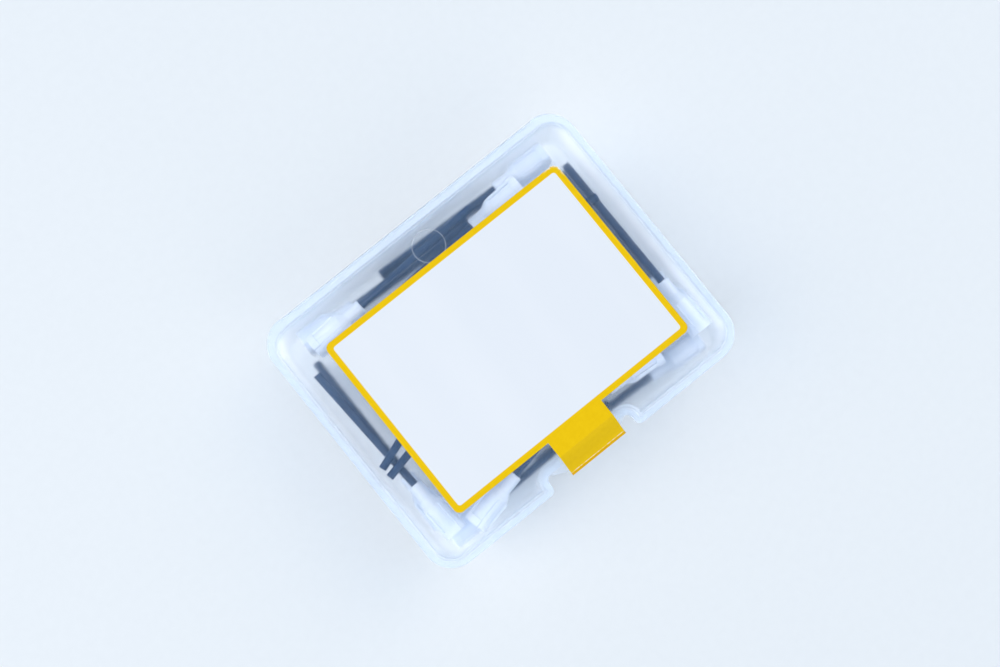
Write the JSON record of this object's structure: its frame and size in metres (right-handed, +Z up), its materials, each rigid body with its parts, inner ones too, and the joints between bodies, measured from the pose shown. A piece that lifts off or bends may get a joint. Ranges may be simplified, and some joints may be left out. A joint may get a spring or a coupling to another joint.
{
  "type": "case of dispensing needle tips",
  "caption": "Closed hinged case of frosted plastic, full of plastic dispensing needle tips, with a bordered label whose tab holds the lid shut over a finger notch",
  "frame": {"origin": "middle of the footprint, on the face that the case rests on", "axes": "+X along the case's long side, +Y towards the living hinge, away from the finger notch, +Z up, out of the labelled lid"},
  "size_m": [0.1, 0.08, 0.0271],
  "materials": {
    "case_plastic": "frosted translucent polypropylene",
    "label_sheet": "satin, yellow border round a white field",
    "hub_plastic": "natural polypropylene, slightly translucent",
    "tube_plastic": "smooth slate blue"
  },
  "bodies": {
    "root": {"hinged_case": "case_plastic", "label": "label_sheet", "hubs_1": "hub_plastic", "hubs_2": "hub_plastic", "hubs_3": "hub_plastic", "hubs_4": "hub_plastic", "hubs_5": "hub_plastic", "hubs_6": "hub_plastic", "hubs_7": "hub_plastic", "hubs_8": "hub_plastic", "hubs_9": "hub_plastic", "hubs_10": "hub_plastic", "hubs_11": "hub_plastic", "hubs_12": "hub_plastic", "hubs_13": "hub_plastic", "hubs_14": "hub_plastic", "hubs_15": "hub_plastic", "hubs_16": "hub_plastic", "hubs_17": "hub_plastic", "hubs_18": "hub_plastic", "hubs_19": "hub_plastic", "hubs_20": "hub_plastic", "hubs_21": "hub_plastic", "hubs_22": "hub_plastic", "hubs_23": "hub_plastic", "hubs_24": "hub_plastic", "hubs_25": "hub_plastic", "tubes_1": "tube_plastic", "tubes_2": "tube_plastic", "tubes_3": "tube_plastic", "tubes_4": "tube_plastic", "tubes_5": "tube_plastic", "tubes_6": "tube_plastic", "tubes_7": "tube_plastic", "tubes_8": "tube_plastic", "tubes_9": "tube_plastic", "tubes_10": "tube_plastic", "tubes_11": "tube_plastic", "tubes_12": "tube_plastic", "tubes_13": "tube_plastic", "tubes_14": "tube_plastic", "tubes_15": "tube_plastic", "tubes_16": "tube_plastic", "tubes_17": "tube_plastic", "tubes_18": "tube_plastic", "tubes_19": "tube_plastic", "tubes_20": "tube_plastic", "tubes_21": "tube_plastic", "tubes_22": "tube_plastic", "tubes_23": "tube_plastic", "tubes_24": "tube_plastic", "tubes_25": "tube_plastic"}
  },
  "joints": []
}
